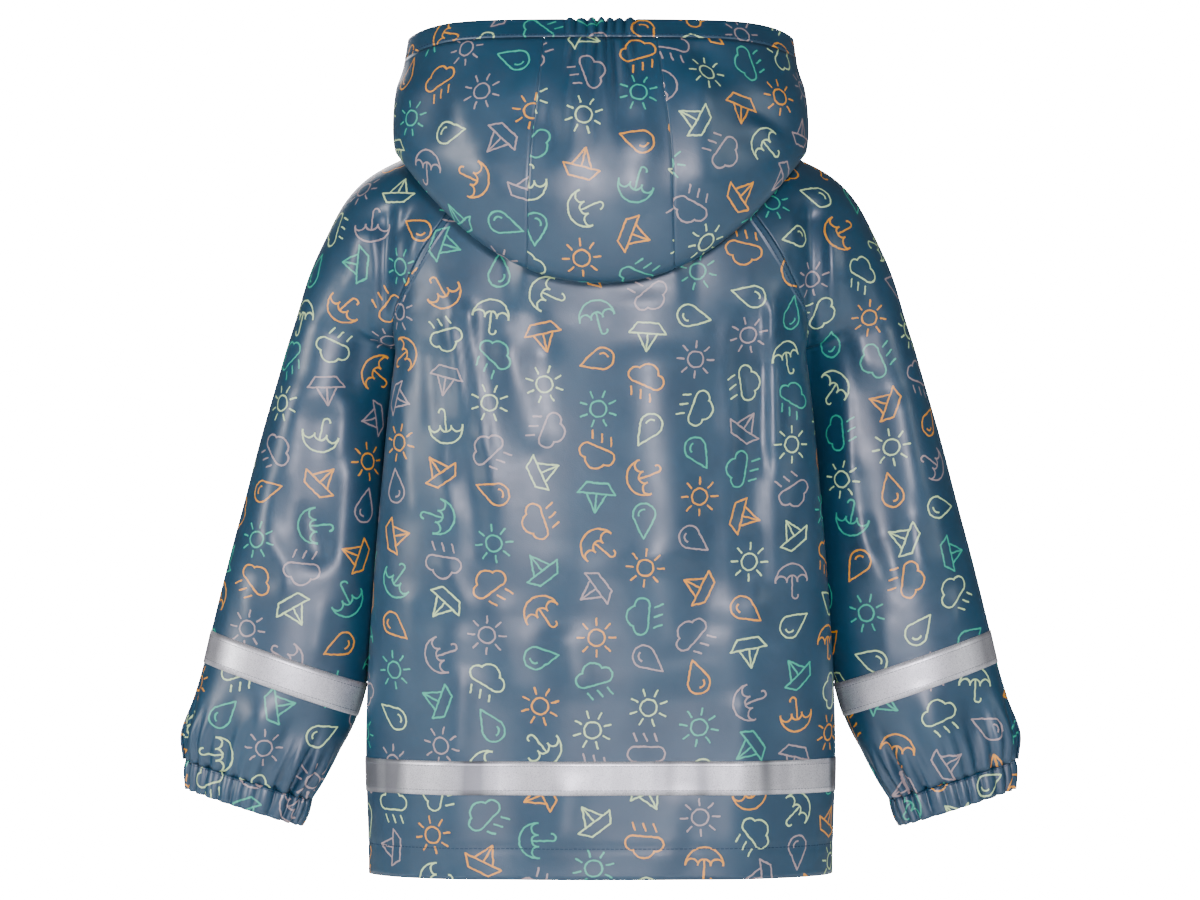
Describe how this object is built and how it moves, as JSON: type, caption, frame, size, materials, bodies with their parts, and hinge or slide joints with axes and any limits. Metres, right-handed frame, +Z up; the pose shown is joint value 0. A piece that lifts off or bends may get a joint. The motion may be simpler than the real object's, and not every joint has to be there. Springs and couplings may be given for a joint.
{
  "type": "kids raincoat",
  "caption": "Hip-length kids raincoat of coated cloth with raglan sleeves, elastic cuffs, reflective tapes and a three-panel hood lying on the back, hollow as if worn.",
  "frame": {"origin": "middle of the neck opening, where the wearer holds the coat up", "axes": "+Z up from hem to neck, the front faces -Y and the back +Y, the wearer's left is +X"},
  "size_m": [0.6258, 0.2515, 0.6324],
  "materials": {
    "coated_cloth": "semi-gloss coated knit with a printed pattern",
    "reflective_tape": "silver reflective",
    "stud": "gloss"
  },
  "bodies": {
    "root": {"back": "coated_cloth", "front_left": "coated_cloth", "front_right": "coated_cloth", "sleeve_left_back": "coated_cloth", "sleeve_left_front": "coated_cloth", "sleeve_right_back": "coated_cloth", "sleeve_right_front": "coated_cloth", "hood_left": "coated_cloth", "hood_right": "coated_cloth", "hood_centre": "coated_cloth", "hood_casing": "coated_cloth", "cuff_left": "coated_cloth", "cuff_right": "coated_cloth", "tape_back": "reflective_tape", "tape_front_left": "reflective_tape", "tape_front_right": "reflective_tape", "tape_sleeve_left_back": "reflective_tape", "tape_sleeve_left_front": "reflective_tape", "tape_sleeve_right_back": "reflective_tape", "tape_sleeve_right_front": "reflective_tape", "stud_1": "stud", "stud_2": "stud", "stud_3": "stud", "stud_4": "stud", "stud_5": "stud"}
  },
  "joints": []
}
